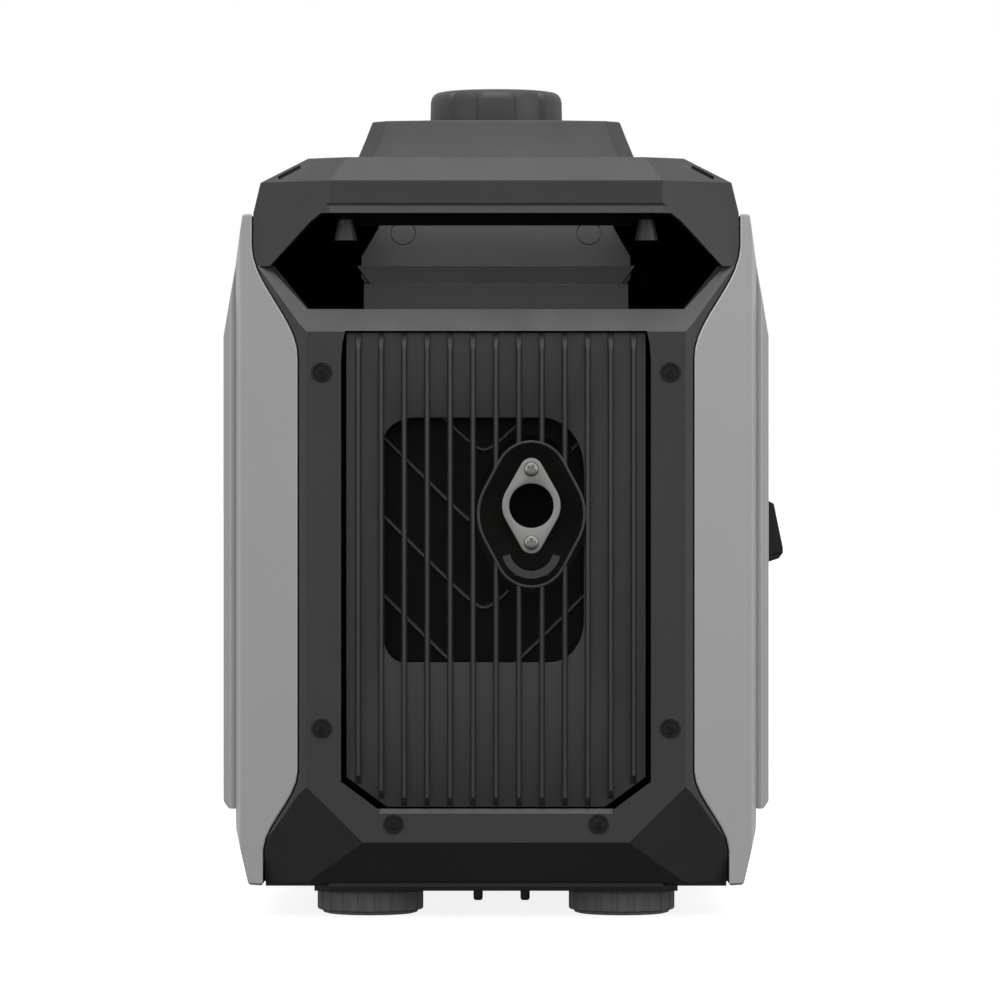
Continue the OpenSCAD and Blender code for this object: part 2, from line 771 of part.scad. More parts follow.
// Flat spiral spring and the post that the pulley turns on
module recoil_spring() color("#9098a0") {
    along_x(119, 126.9) polygon(concat(
        [for (i = [0:spring_steps]) spring_point(i, 0)],
        [for (i = [spring_steps:-1:0]) spring_point(i, 0.9)]
    ));
    bar_x([crank_y, crank_z], 6, 104, 126.9);
    along_x(120, 126.9) square_plate([crank_y + 5, crank_z - 0.5], [crank_y + 9.5, crank_z + 0.5]);
}

module starter_grip() color("#242424") {
    along_y(grip_y - 45, grip_y + 45) polygon([
        [139.5, 220], [146, 221.5], [152.8, 218], [157.8, 194], [157.8, 191],
        [155.5, 187.8], [146, 184.8], [139.5, 187]
    ]);
    bar_x([grip_y, grip_z], 9, 133.2, 141);
    bar_x([grip_y, grip_z], 2, 119, 134);
}

module carburettor() color("#9a978f") difference() {
    union() {
        block([-32, 22.1, 212], [12, 34, 244]);
        block([-28, 34, 206], [8, 66, 250]);
        bar_y([-10, 228], 16, 66, 74);
        bar_z([-10, 50], 15, 184, 206);
    }
    bar_y([-10, 228], 9, 20, 80);
}

module air_filter_box() color("#242424") difference() {
    block([-70, 74.1, 196], [50, 132, 282]);
    block([-67, 77, 199], [47, 129, 279]);
    bar_y([-10, 228], 12, 70, 80);
    for (i = [0:4]) block([-50 + i * 16, 125, 210], [-42 + i * 16, 140, 260]);
}

// Screw-in oil filler plug with a finger grip
module oil_cap() color("#c8a21e") {
    bar_x([20, 72], 8.95, -74, -48);
    bar_x([20, 72], 14, -80, -74);
    block([-90, 17.5, 60], [-80, 22.5, 84]);
}

module inverter_module() color("#7d8288") {
    block([-100, 152, 30], [100, 205, 62]);
    for (i = [0:15]) block([-98 + i * 12.8, 154, 62], [-95.5 + i * 12.8, 203, 80]);
}

module engine_mounts() color("#1a1a1a") for (x = [-48, 28], y = [-62, 22]) difference() {
    translate([x, y, pan_z + 5]) rotate_extrude() polygon([
        [0, 0], [14, 0], [11, 14], [14, 29], [0, 29]
    ]);
    bar_z([x, y], 4, 40, 60);
}

// --- Control panel --------------------------------------------------------

knob_at = [48, 256];
rocker_at = [-50, 272];
reset_at = [0, 272];
breaker_at = [8, 190];
dc_at = [52, 190];
jack_at = [[38, 132], [64, 132]];
ground_at = [-8, 132];
socket_z = [219, 161];
socket_x = -46;

module control_panel() color("#2b2b2b") difference() {
    union() {
        block([-82.5, panel_y - 3, 63.5], [82.5, panel_y, 306.5]);
        for (i = [0:4]) block([-72, panel_y, 74 + i * 8], [72, panel_y + 6, 77 + i * 8]);
        block([-36, panel_y, 296], [36, panel_y + 1.5, 304]);
    }
    bar_y(knob_at, 5 + run_gap, 200, 260);
    block([rocker_at.x - 9.4, 200, rocker_at.y - 7.4], [rocker_at.x + 9.4, 260, rocker_at.y + 7.4]);
    bar_y(reset_at, 5 + run_gap, 200, 260);
    bar_y(breaker_at, 5 + run_gap, 200, 260);
    for (z = socket_z) block([socket_x - 22, 200, z - 17], [socket_x + 22, 260, z + 17]);
    bar_y(dc_at, 15, 200, 260);
    for (p = jack_at) bar_y(p, 7, 200, 260);
    bar_y(ground_at, 3.2, 200, 260);
    for (i = [0:3]) block([-70, 200, 78 + i * 8], [70, 260, 81 + i * 8]);
}

module engine_knob() color("#303030") difference() {
    union() {
        bar_y(knob_at, knob_r, panel_y + 0.5, panel_y + 6);
        bar_y(knob_at, 5, panel_y - 14, panel_y + 1);
        block([knob_at.x - 4, panel_y + 5, knob_at.y - 18], [knob_at.x + 4, panel_y + 14, knob_at.y + 18]);
    }
    block([knob_at.x - 0.8, panel_y + 12.8, knob_at.y + 4], [knob_at.x + 0.8, panel_y + 15, knob_at.y + 17]);
}

module eco_rocker() color("#b5371f") difference() {
    bar_x([panel_y - 2, rocker_at.y], 7, rocker_at.x - 9, rocker_at.x + 9);
    block([rocker_at.x - 10, panel_y - 12, rocker_at.y - 8],
        [rocker_at.x + 10, panel_y - 5, rocker_at.y + 8]);
}

module push_button(p) {
    bar_y(p, 5, panel_y - 12, panel_y + 4);
    bar_y(p, 7, panel_y - 14, panel_y - 12);
}

module reset_button() color("#1f6b3a") push_button(reset_at);

module breaker_button() color("#d8d8d8") push_button(breaker_at);

module ac_sockets() color("#1e1e1e") for (z = socket_z) difference() {
    union() {
        block([socket_x - 21.7, panel_y - 30, z - 16.7], [socket_x + 21.7, panel_y + 1, z + 16.7]);
        block([socket_x - 26, panel_y + 0.1, z - 21], [socket_x + 26, panel_y + 2, z + 21]);
        for (x = [-26, 24.3])
            block([socket_x + x, panel_y + 1, z + 19], [socket_x + x + 1.7, panel_y + 8, z + 25]);
    }
    bar_x([panel_y + 5, z + 22], 2.2 + run_gap, socket_x - 30, socket_x + 30);
    for (x = [-6.4, 6.4])
        block([socket_x + x - 1, panel_y - 18, z - 1], [socket_x + x + 1, panel_y + 3, z + 8]);
    bar_y([socket_x, z - 8], 2.6, panel_y - 18, panel_y + 3);
}

// Spring-up lid over one socket, hung from a pin along its top edge
module socket_lid(z) {
    block([socket_x - 25, panel_y + 2.4, z - 20], [socket_x + 25, panel_y + 5, z + 16.6]);
    bar_x([panel_y + 5, z + 22], 2.2, socket_x - 26.4, socket_x + 26.4);
    block([socket_x - 24, panel_y + 3.4, z + 16], [socket_x + 24, panel_y + 5, z + 21]);
}

module socket_lid_upper() color("#3a3a3a") socket_lid(socket_z[0]);

module socket_lid_lower() color("#3a3a3a") socket_lid(socket_z[1]);

module dc_socket() color("#1c1c1c") difference() {
    union() {
        bar_y(dc_at, 14.7, panel_y - 36, panel_y + 1);
        bar_y(dc_at, 18, panel_y + 0.1, panel_y + 3);
    }
    bar_y(dc_at, 10.6, panel_y - 33, panel_y + 4);
}

module parallel_jacks() color("#8c1d18") for (p = jack_at) difference() {
    union() {
        bar_y(p, 6.8, panel_y - 18, panel_y + 1);
        bar_y(p, 9, panel_y + 0.1, panel_y + 8);
    }
    bar_y(p, 2.05, panel_y - 12, panel_y + 9);
}

module ground_terminal() color("#c9a94a") {
    bar_y(ground_at, 3, panel_y - 12, panel_y + 14);
    difference() {
        bar_y(ground_at, 7, panel_y + 0.1, panel_y + 5);
        bar_y(ground_at, 3, panel_y, panel_y + 6);
    }
}

base_pan();
rubber_feet();
foot_screws();
drain_plugs();
rear_frame();
rear_grille();
front_frame();
frame_screws();
heat_shield();
muffler();
outlet_flange();
flange_screws();
outlet_deflector();
top_cover();
rear_handle();
front_handle();
rear_grip_liner();
front_grip_liner();
grip_screws();
tank_collar();
left_side_cover();
right_side_cover();
left_service_panel();
right_panel();
service_latch();
fuel_tank();
filler_neck();
fuel_cap();
cap_gasket();
vent_lever();
crankcase();
crankcase_cover();
cylinder_barrel();
cylinder_head();
spark_plug();
crankshaft();
main_bearings();
flywheel();
cooling_fan();
stator();
recoil_housing();
starter_pulley();
recoil_spring();
starter_grip();
carburettor();
air_filter_box();
oil_cap();
inverter_module();
engine_mounts();
control_panel();
engine_knob();
eco_rocker();
reset_button();
breaker_button();
ac_sockets();
socket_lid_upper();
socket_lid_lower();
dc_socket();
parallel_jacks();
ground_terminal();
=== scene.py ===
import math

import bmesh
import bpy
from mathutils import Matrix, Vector
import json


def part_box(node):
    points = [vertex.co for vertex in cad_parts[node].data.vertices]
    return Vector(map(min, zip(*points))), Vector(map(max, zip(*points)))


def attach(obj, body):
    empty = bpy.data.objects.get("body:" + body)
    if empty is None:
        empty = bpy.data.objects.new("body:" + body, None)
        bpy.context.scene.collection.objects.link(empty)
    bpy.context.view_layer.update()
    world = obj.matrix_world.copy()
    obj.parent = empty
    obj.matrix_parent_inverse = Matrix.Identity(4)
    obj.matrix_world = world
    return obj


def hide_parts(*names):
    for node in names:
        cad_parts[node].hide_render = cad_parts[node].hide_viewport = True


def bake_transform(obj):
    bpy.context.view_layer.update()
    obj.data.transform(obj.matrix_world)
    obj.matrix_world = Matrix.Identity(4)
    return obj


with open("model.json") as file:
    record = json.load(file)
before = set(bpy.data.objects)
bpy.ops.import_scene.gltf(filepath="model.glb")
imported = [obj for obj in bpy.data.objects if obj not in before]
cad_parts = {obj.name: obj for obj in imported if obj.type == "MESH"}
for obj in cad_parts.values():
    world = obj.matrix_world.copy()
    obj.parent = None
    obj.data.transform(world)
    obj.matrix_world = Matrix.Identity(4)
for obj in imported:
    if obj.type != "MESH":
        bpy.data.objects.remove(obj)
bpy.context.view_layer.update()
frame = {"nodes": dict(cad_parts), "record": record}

# ---------------------------------------------------------------------------
# Studio: a white sweep, an even white surround and three large soft lights, with the camera
# square to the exhaust end at the height of the outlet.

WHITE = "#f4f4f4"
MM = 0.001
camera_distance = 3.0
camera_height = 0.22
camera_side = 0.0021
sensor_mm, view_width = 36, 0.5224
case_end = -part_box("rear_frame")[0].y


def linear(hex_colour):
    """An sRGB hex colour as linear RGBA."""
    parts = [int(hex_colour[i : i + 2], 16) / 255 for i in (1, 3, 5)]
    return [c / 12.92 if c <= 0.04045 else ((c + 0.055) / 1.055) ** 2.4 for c in parts] + [1]


def add(tree, kind, settings=None, links=None):
    """A node of that kind, with its sockets set and its inputs linked."""
    made = tree.nodes.new(kind)
    for key, value in (settings or {}).items():
        if hasattr(made, str(key)) and not isinstance(key, int):
            setattr(made, key, value)
        else:
            made.inputs[key].default_value = value
    for key, source in (links or {}).items():
        tree.links.new(source, made.inputs[key])
    return made


scene = bpy.context.scene
scene.view_settings.view_transform = "Standard"
world = bpy.data.worlds.new("studio_surround")
world.use_nodes = True
around = add(world.node_tree, "ShaderNodeTexCoord")
height = add(world.node_tree, "ShaderNodeSeparateXYZ", {}, {0: around.outputs["Generated"]})
shade = add(world.node_tree, "ShaderNodeMapRange",
            {"From Min": -0.3, "From Max": -0.02, "To Min": 0.05, "To Max": 1.0}, {0: height.outputs["Z"]})
world.node_tree.links.new(shade.outputs["Result"],
                          world.node_tree.nodes["Background"].inputs["Strength"])
world.node_tree.nodes["Background"].inputs["Color"].default_value = (1, 1, 1, 1)
scene.world = world

lens_data = bpy.data.cameras.new("end_view")
lens_data.lens = sensor_mm * camera_distance / view_width
lens_data.sensor_width = sensor_mm
camera = bpy.data.objects.new("end_view", lens_data)
camera.location = (camera_side, -case_end - camera_distance, camera_height)
camera.rotation_euler = (math.radians(90), 0, 0)
lens_data.clip_end = 200
scene.collection.objects.link(camera)
scene.camera = camera

for name, place, size, power in (
    ("right_panel", (2.4, -1.6, 1.0), 1.2, 16),
    ("left_panel", (-2.2, -2.0, 0.5), 0.9, 8),
    ("top_panel", (0.0, -0.75, 2.3), 1.5, 30),
):
    light_data = bpy.data.lights.new(name, "AREA")
    light_data.size = size
    light_data.energy = power
    light = bpy.data.objects.new(name, light_data)
    light.location = place
    aim = Vector((0, 0, 0.2)) - Vector(place)
    light.rotation_euler = aim.to_track_quat("-Z", "Y").to_euler()
    scene.collection.objects.link(light)

floor_mesh = bpy.data.meshes.new("floor")
floor_mesh.from_pydata([(-90, -90, 0), (90, -90, 0), (90, 90, 0), (-90, 90, 0)], [], [(0, 1, 2, 3)])
floor = bpy.data.objects.new("floor", floor_mesh)
scene.collection.objects.link(floor)
floor_paper = bpy.data.materials.new("matt_white_sweep")
floor_paper.use_nodes = True
paper = floor_paper.node_tree.nodes["Principled BSDF"]
paper.inputs["Base Color"].default_value = linear("#8c8c8c")
paper.inputs["Roughness"].default_value = 0.9
paper.inputs["Emission Color"].default_value = linear(WHITE)
paper.inputs["Emission Strength"].default_value = 0.96
floor_mesh.materials.append(floor_paper)
floor.visible_diffuse = False
floor.visible_glossy = False

# ---------------------------------------------------------------------------
# Base pan: a black polypropylene tray that carries the engine on rubber mounts. It shows as a
# thin strip under the frames. Its moulded surface is a fine even spark texture.

bodies = frame["record"]["behaviour"]["bodies"]
body_of_node = {n: b for b, members in bodies.items() for n in members}
slot_of_node = {s["node"]: s["material_slot"] for s in frame["record"]["subparts"]}


def surface(name, colour, roughness, grain_mm, grain_depth, shade=0.12, metallic=0.0, coat=0.0,
            stretch=(1, 1, 1), pattern="ShaderNodeTexNoise", specular=0.5, smear=0.08):
    """A procedural finish: tone that drifts over the part, a fine relief, and uneven gloss."""
    made = bpy.data.materials.new(name)
    made.use_nodes = True
    tree = made.node_tree
    shader = tree.nodes["Principled BSDF"]
    shader.inputs["Metallic"].default_value = metallic
    shader.inputs["Coat Weight"].default_value = coat
    shader.inputs["Coat Roughness"].default_value = 0.25
    shader.inputs["Specular IOR Level"].default_value = specular
    place = add(tree, "ShaderNodeTexCoord")
    lay = add(tree, "ShaderNodeMapping", {"Scale": stretch}, {"Vector": place.outputs["Object"]})
    drift = add(tree, "ShaderNodeTexNoise", {"Scale": 14.0, "Detail": 3.0},
                {"Vector": place.outputs["Object"]})
    base = linear(colour)
    dark = [c * (1 - shade) for c in base[:3]] + [1]
    light = [min(1, c * (1 + shade)) for c in base[:3]] + [1]
    tone = add(tree, "ShaderNodeMix", {"data_type": "RGBA", 6: dark, 7: light},
               {0: drift.outputs["Fac"]})
    tree.links.new(tone.outputs[2], shader.inputs["Base Color"])
    grain = add(tree, pattern, {"Scale": 1000 / grain_mm / 2}, {"Vector": lay.outputs["Vector"]})
    height = grain.outputs["Distance" if pattern == "ShaderNodeTexVoronoi" else "Fac"]
    relief = add(tree, "ShaderNodeBump", {"Strength": 1.0, "Distance": grain_depth * MM},
                 {"Height": height})
    tree.links.new(relief.outputs["Normal"], shader.inputs["Normal"])
    smears = add(tree, "ShaderNodeTexNoise", {"Scale": 45.0, "Detail": 2.0},
                 {"Vector": lay.outputs["Vector"]})
    gloss = add(tree, "ShaderNodeMapRange", {"To Min": roughness - smear, "To Max": roughness + smear},
                {"Value": smears.outputs["Fac"]})
    tree.links.new(gloss.outputs["Result"], shader.inputs["Roughness"])
    return made


# Spark-eroded black ABS: near black, matt, with a fine leathery grain that breaks up the light
spark_abs = surface("spark_textured_black_abs", "#2b2b2b", 0.5, 0.9, 0.035, specular=0.45)
# Smooth polypropylene: darker and a little waxier, with soft smears in the gloss
smooth_pp = surface("smooth_black_polypropylene", "#161616", 0.42, 2.5, 0.012, specular=0.4)


def finish_mesh(mesh, sharp_degrees=38):
    """Smooth shading that stays crisp where two faces meet at a real edge."""
    work = bmesh.new()
    work.from_mesh(mesh)
    for face in work.faces:
        face.smooth = True
    for edge in work.edges:
        edge.smooth = len(edge.link_faces) == 2 and edge.calc_face_angle(0) < math.radians(sharp_degrees)
    work.to_mesh(mesh)
    work.free()


def link_piece(name, mesh, material):
    """An object in the scene for a finished mesh of one material."""
    mesh.materials.clear()
    mesh.materials.append(material)
    piece = bpy.data.objects.new(name, mesh)
    scene.collection.objects.link(piece)
    return piece


def hand_over(piece, node_name, replace=True):
    """Rides on the body of its CAD node and stands for it."""
    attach(piece, body_of_node[node_name])
    if replace:
        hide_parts(node_name)
    return piece


def settled(piece):
    """The piece with its modifiers worked into a plain mesh."""
    graph = bpy.context.evaluated_depsgraph_get()
    mesh = bpy.data.meshes.new_from_object(piece.evaluated_get(graph), preserve_all_data_layers=True,
                                           depsgraph=graph)
    piece.modifiers.clear()
    piece.data = mesh
    return piece


def evened(piece):
    """Smooth shading in which the large flat faces stay flat and only the rounded edges bend."""
    finish_mesh(piece.data)
    flatten = piece.modifiers.new("flat_faces", "WEIGHTED_NORMAL")
    flatten.mode = "FACE_AREA"
    flatten.weight = 90
    flatten.keep_sharp = True
    return settled(piece)


def moulded(node_name, material, round_mm, segments=3, shortest_mm=4.0, sharp_degrees=20):
    """A moulding of the CAD node's own shape, with its long edges rounded as a mould rounds them."""
    mesh = frame["nodes"][node_name].data.copy()
    work = bmesh.new()
    work.from_mesh(mesh)
    bmesh.ops.remove_doubles(work, verts=work.verts, dist=0.00002)
    bmesh.ops.dissolve_limit(work, angle_limit=math.radians(0.6), verts=work.verts, edges=work.edges)
    weight = work.edges.layers.float.new("bevel_weight_edge")
    for edge in work.edges:
        if len(edge.link_faces) == 2 and edge.calc_length() > shortest_mm * MM:
            if edge.calc_face_angle(0) > math.radians(sharp_degrees):
                edge[weight] = 1.0
    work.to_mesh(mesh)
    work.free()
    piece = link_piece(node_name + "_moulding", mesh, material)
    rounding = piece.modifiers.new("rounding", "BEVEL")
    rounding.limit_method = "WEIGHT"
    rounding.width = round_mm * MM
    rounding.segments = segments
    rounding.use_clamp_overlap = True
    settled(piece)
    evened(piece)
    return hand_over(piece, node_name)


moulded("base_pan", smooth_pp, 0.8)

# ---------------------------------------------------------------------------
# Feet: four turned-profile rubber pads, each held by one screw from below. Moulded nitrile
# rubber is dull; its grey is lightened as painted light for the shade under the pan. The two drain plugs
# between them are blackened steel.

nitrile = surface("moulded_nitrile_rubber", "#636363", 0.72, 1.2, 0.03, shade=0.2, specular=0.3)
black_oxide = surface("black_oxide_steel", "#232323", 0.4, 1.0, 0.01, metallic=0.8)
zinc = surface("dull_zinc_plate", "#8f8f8d", 0.42, 1.4, 0.008, metallic=0.9, smear=0.1)
foot_places = [(x * MM, y * MM) for x in (-67, 67) for y in (-185, 185)]
foot_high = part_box("rubber_feet")[1].z / MM
foot_r = (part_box("rubber_feet")[1].x - foot_places[2][0]) / MM
foot_work = bmesh.new()
foot_steps, rib_count, rib_depth = 240, 20, 0.9
foot_rows = [(6, 4, 0), (6, 0, 0), (foot_r - 5, 0, 0), (foot_r - 3.2, 0.5, 0), (foot_r - 2.6, 1.6, 1),
             (foot_r - 0.4, 2.2, 1), (foot_r, 3, 1), (foot_r, foot_high - 4.2, 1),
             (foot_r - 1, foot_high - 3.2, 1), (foot_r - 3.4, foot_high - 0.2, 0),
             (foot_r - 4, foot_high, 0), (3.5, foot_high, 0), (3.5, 4, 0)]
for foot_x, foot_y in foot_places:
    rings = []
    for step in range(foot_steps):
        angle = math.tau * step / foot_steps
        dip = rib_depth * (math.cos(rib_count * angle) < -0.2)
        rings.append([foot_work.verts.new((foot_x + (r - dip * k) * MM * math.cos(angle),
                                           foot_y + (r - dip * k) * MM * math.sin(angle), z * MM))
                      for r, z, k in foot_rows])
    for a, b in zip(rings, rings[1:] + rings[:1]):
        for k in range(len(foot_rows)):
            j = (k + 1) % len(foot_rows)
            foot_work.faces.new((a[k], a[j], b[j], b[k]))
bmesh.ops.recalc_face_normals(foot_work, faces=foot_work.faces)
foot_mesh = bpy.data.meshes.new("ribbed_feet")
foot_work.to_mesh(foot_mesh)
foot_work.free()
finish_mesh(foot_mesh, 30)
hand_over(link_piece("ribbed_rubber_feet", foot_mesh, nitrile), "rubber_feet")
moulded("drain_plugs", black_oxide, 0.2, shortest_mm=0.3)
moulded("foot_screws", zinc, 0.4, shortest_mm=0.4)

# ---------------------------------------------------------------------------
# End frames: two black ABS mouldings that close the ends and hold the side covers. Each has
# a flat face, slanting facets to the seam and lower corners, and six sunk screws.

moulded("rear_frame", spark_abs, 1.4, segments=4, shortest_mm=3.5)
moulded("front_frame", spark_abs, 1.4, segments=4, shortest_mm=3.5)

# ---------------------------------------------------------------------------
# Frame screws: black pan-head steel screws with a cross recess. One head is turned and cut,
# then set in every recess of both frames.

screw_head_r = 4.3 * MM
screw_face = case_end - 2.0 * MM


def turned(name, profile, steps=32):
    """A closed turned shape: profile is radius and place along the axis, from tip to tip."""
    mesh = bpy.data.meshes.new(name)
    work = bmesh.new()
    verts = [work.verts.new((r, y, 0)) for r, y in profile]
    edges = [work.edges.new(pair) for pair in zip(verts, verts[1:])]
    bmesh.ops.spin(work, geom=verts + edges, cent=(0, 0, 0), axis=(0, 1, 0),
                   angle=math.tau, steps=steps, use_merge=True)
    bmesh.ops.remove_doubles(work, verts=work.verts, dist=0.000001)
    bmesh.ops.recalc_face_normals(work, faces=work.faces)
    work.to_mesh(mesh)
    work.free()
    return mesh


def box_mesh(name, low, high):
    """A block between two corners, in metres."""
    mesh = bpy.data.meshes.new(name)
    work = bmesh.new()
    bmesh.ops.create_cube(work, size=1)
    for vert in work.verts:
        vert.co = Vector([low[i] if vert.co[i] < 0 else high[i] for i in range(3)])
    work.to_mesh(mesh)
    work.free()
    return mesh


def cut(piece, tools):
    """The piece with each tool's shape cut out of it."""
    for tool in tools:
        knife = piece.modifiers.new("cut", "BOOLEAN")
        knife.operation = "DIFFERENCE"
        knife.solver = "EXACT"
        knife.object = tool
    settled(piece)
    for tool in tools:
        bpy.data.objects.remove(tool)
    return piece


def cross_head(name, r, height, material):
    """A pan head facing -Y with its underside at the origin and a cross recess."""
    curve = [(0, -height), (r * 0.55, -height), (r * 0.85, -height * 0.8), (r, -height * 0.35),
             (r, 0), (0, 0)]
    head = link_piece(name, turned(name, curve), material)
    arm, slim, deep = r * 0.62, r * 0.17, height * 0.75
    bars = [link_piece(name + "_bar", box_mesh(name, (-a, -height - 0.001, -b), (a, -height + deep, b)),
                       material) for a, b in ((arm, slim), (slim, arm))]
    return cut(head, bars)


def scatter(name, places, source, material, turns=None):
    """Geometry Nodes: one copy of source at each place, turned about Y, as one plain mesh."""
    host = bpy.data.meshes.new(name)
    host.from_pydata(places, [], [])
    turn = host.attributes.new("turn", "FLOAT", "POINT")
    turn.data.foreach_set("value", [float(t) for t in (turns or [0] * len(places))])
    piece = link_piece(name, host, material)
    tree = bpy.data.node_groups.new(name + "_nodes", "GeometryNodeTree")
    tree.interface.new_socket("Geometry", in_out="INPUT", socket_type="NodeSocketGeometry")
    size_input = tree.interface.new_socket("Size", in_out="INPUT", socket_type="NodeSocketFloat")
    tree.interface.new_socket("Geometry", in_out="OUTPUT", socket_type="NodeSocketGeometry")
    entry = add(tree, "NodeGroupInput")
    shape = add(tree, "GeometryNodeObjectInfo", {"Object": source})
    spin = add(tree, "GeometryNodeInputNamedAttribute", {"data_type": "FLOAT", "Name": "turn"})
    about_y = add(tree, "ShaderNodeCombineXYZ", {}, {"Y": spin.outputs["Attribute"]})
    copies = add(tree, "GeometryNodeInstanceOnPoints", {}, {
        "Points": entry.outputs["Geometry"], "Instance": shape.outputs["Geometry"],
        "Rotation": about_y.outputs["Vector"], "Scale": entry.outputs["Size"]})
    real = add(tree, "GeometryNodeRealizeInstances", {}, {"Geometry": copies.outputs["Instances"]})
    painted = add(tree, "GeometryNodeSetMaterial", {"Material": material},
                  {"Geometry": real.outputs["Geometry"]})
    add(tree, "NodeGroupOutput", {}, {"Geometry": painted.outputs["Geometry"]})
    maker = piece.modifiers.new("copies", "NODES")
    maker.node_group = tree
    maker[size_input.identifier] = 1.0
    settled(piece)
    finish_mesh(piece.data)
    return piece


def flipped(mesh):
    """The mesh turned half round about Z, for the other end of the case."""
    turned_mesh = mesh.copy()
    turned_mesh.transform(Matrix.Rotation(math.pi, 4, "Z"))
    return turned_mesh


def joined(name, meshes, material):
    """Several meshes as one piece."""
    work = bmesh.new()
    for mesh in meshes:
        work.from_mesh(mesh)
    whole = bpy.data.meshes.new(name)
    work.to_mesh(whole)
    work.free()
    return link_piece(name, whole, material)


screw_x, low_screw_x = 91 * MM, 53.5 * MM
screw_places = [(s * x, -screw_face + 2.4 * MM, z * MM) for s in (-1, 1)
                for x, z in ((screw_x, 286), (screw_x, 100), (low_screw_x, 50))]
head = cross_head("frame_screw_head", screw_head_r, 2.6 * MM, black_oxide)
one_end = scatter("rear_frame_screw_heads", screw_places, head, black_oxide,
                  [0.3, 1.1, 0.7, 0.2, 0.9, 0.5])
heads = joined("frame_screw_heads", [one_end.data, flipped(one_end.data)], black_oxide)
bpy.data.objects.remove(one_end)
bpy.data.objects.remove(head)
hand_over(heads, "frame_screws", replace=False)
for cad_slot in frame["nodes"]["frame_screws"].material_slots:
    cad_slot.material = black_oxide

# ---------------------------------------------------------------------------
# Heat shield: a black-painted steel sheet behind the grille, pressed with V-shaped ribs that
# stiffen it and point down, round a clearance for the outlet.

shield_low, shield_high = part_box("heat_shield")
# Near black: partly the sheet's black paint, partly painted shade for the dark space behind the grille
stove_black = surface("stove_black_on_steel", "#060606", 0.55, 1.6, 0.02, shade=0.3, specular=0.15)
# The ribs are a lighter grey than the sheet: painted highlight where their slopes would catch light from
# above
rib_painted_highlight = surface("painted_highlight_on_shield_ribs", "#4a4a4a", 0.5, 1.6, 0.02, shade=0.2)
for cad_slot in frame["nodes"]["heat_shield"].material_slots:
    cad_slot.material = stove_black
rib_bottom_x = -6.3 * MM
rib_pitch = 41.5 * MM
rib_first_z = 80.5 * MM
rib_half, rib_proud, rib_round = 1.1 * MM, 2.0 * MM, 5.0 * MM
outlet = Vector((18.5, -250, 217)) * MM
ring_z = outlet.z - 4.5 * MM
clear_half_w, clear_half_h = 32.5 * MM, 42.5 * MM


def inside_shield(x, z):
    """Whether a point of the sheet is solid: within its edges and clear of the outlet ring."""
    on_sheet = shield_low.x < x < shield_high.x and shield_low.z < z < shield_high.z
    return on_sheet and ((x - outlet.x) / clear_half_w) ** 2 + ((z - ring_z) / clear_half_h) ** 2 > 1


def rib_runs():
    """Runs of centre points of the V ribs, cut where the sheet ends."""
    runs = []
    for level in range(5):
        bottom = rib_first_z + level * rib_pitch
        run = []
        for step in range(-75, 76):
            x = rib_bottom_x + step * MM
            z = bottom + math.hypot(abs(step) * MM, rib_round) - rib_round
            if inside_shield(x, z):
                run.append((x, z))
            elif run:
                runs.append(run)
                run = []
        if run:
            runs.append(run)
    return [r for r in runs if len(r) > 3]


rib_work = bmesh.new()
for run in rib_runs():
    rows = []
    for i, (x, z) in enumerate(run):
        ahead = Vector(run[min(i + 1, len(run) - 1)]) - Vector(run[max(i - 1, 0)])
        side = Vector((-ahead.y, ahead.x)).normalized() * rib_half
        y = shield_low.y
        rows.append([rib_work.verts.new(p) for p in (
            (x + side.x, y, z + side.y), (x + side.x * 0.4, y - rib_proud, z + side.y * 0.4),
            (x - side.x * 0.4, y - rib_proud, z - side.y * 0.4), (x - side.x, y, z - side.y))])
    for low, high in zip(rows, rows[1:]):
        for k in range(4):
            rib_work.faces.new((low[k], low[(k + 1) % 4], high[(k + 1) % 4], high[k]))
    rib_work.faces.new(rows[0])
    rib_work.faces.new(reversed(rows[-1]))
bmesh.ops.recalc_face_normals(rib_work, faces=rib_work.faces)
rib_mesh = bpy.data.meshes.new("heat_shield_ribs")
rib_work.to_mesh(rib_mesh)
rib_work.free()
hand_over(link_piece("heat_shield_ribs", rib_mesh, rib_painted_highlight), "heat_shield", replace=False)

# ---------------------------------------------------------------------------
# Rear grille: one ABS moulding, a thin plate with thirteen upright fins, a round-cornered
# window that the fins cross as bars, and a rounded-diamond collar round the exhaust outlet.

grille_abs = surface("spark_textured_grille_abs", "#282828", 0.46, 0.9, 0.03, specular=0.45)
plate_front, plate_back = -case_end + 4 * MM, -case_end + 7.5 * MM
fin_pitch, fin_count = 12 * MM, 13
fin_front = -case_end + 0.5 * MM


def sheet(name, outlines, y_front, y_back, material, edge_mm=0.35):
    """A plate across Y with the first outline as its edge, the others as holes, and eased edges."""
    data = bpy.data.curves.new(name, "CURVE")
    data.dimensions = "2D"
    data.fill_mode = "BOTH"
    thick = (y_back - y_front) / 2
    data.extrude = thick - edge_mm * MM
    data.bevel_depth = edge_mm * MM
    data.bevel_resolution = 2
    data.offset = -edge_mm * MM
    for outline in outlines:
        line = data.splines.new("POLY")
        line.points.add(len(outline) - 1)
        for point, (x, z) in zip(line.points, outline):
            point.co = (x, z, 0, 1)
        line.use_cyclic_u = True
    flat = bpy.data.objects.new(name, data)
    scene.collection.objects.link(flat)
    graph = bpy.context.evaluated_depsgraph_get()
    mesh = bpy.data.meshes.new_from_object(flat.evaluated_get(graph))
    bpy.data.objects.remove(flat)
    upright = Matrix.Rotation(math.radians(90), 4, "X")
    mesh.transform(Matrix.Translation((0, (y_front + y_back) / 2, 0)) @ upright)
    work = bmesh.new()
    work.from_mesh(mesh)
    bmesh.ops.remove_doubles(work, verts=work.verts, dist=0.000005)
    bmesh.ops.recalc_face_normals(work, faces=work.faces)
    work.to_mesh(mesh)
    work.free()
    return link_piece(name, mesh, material)


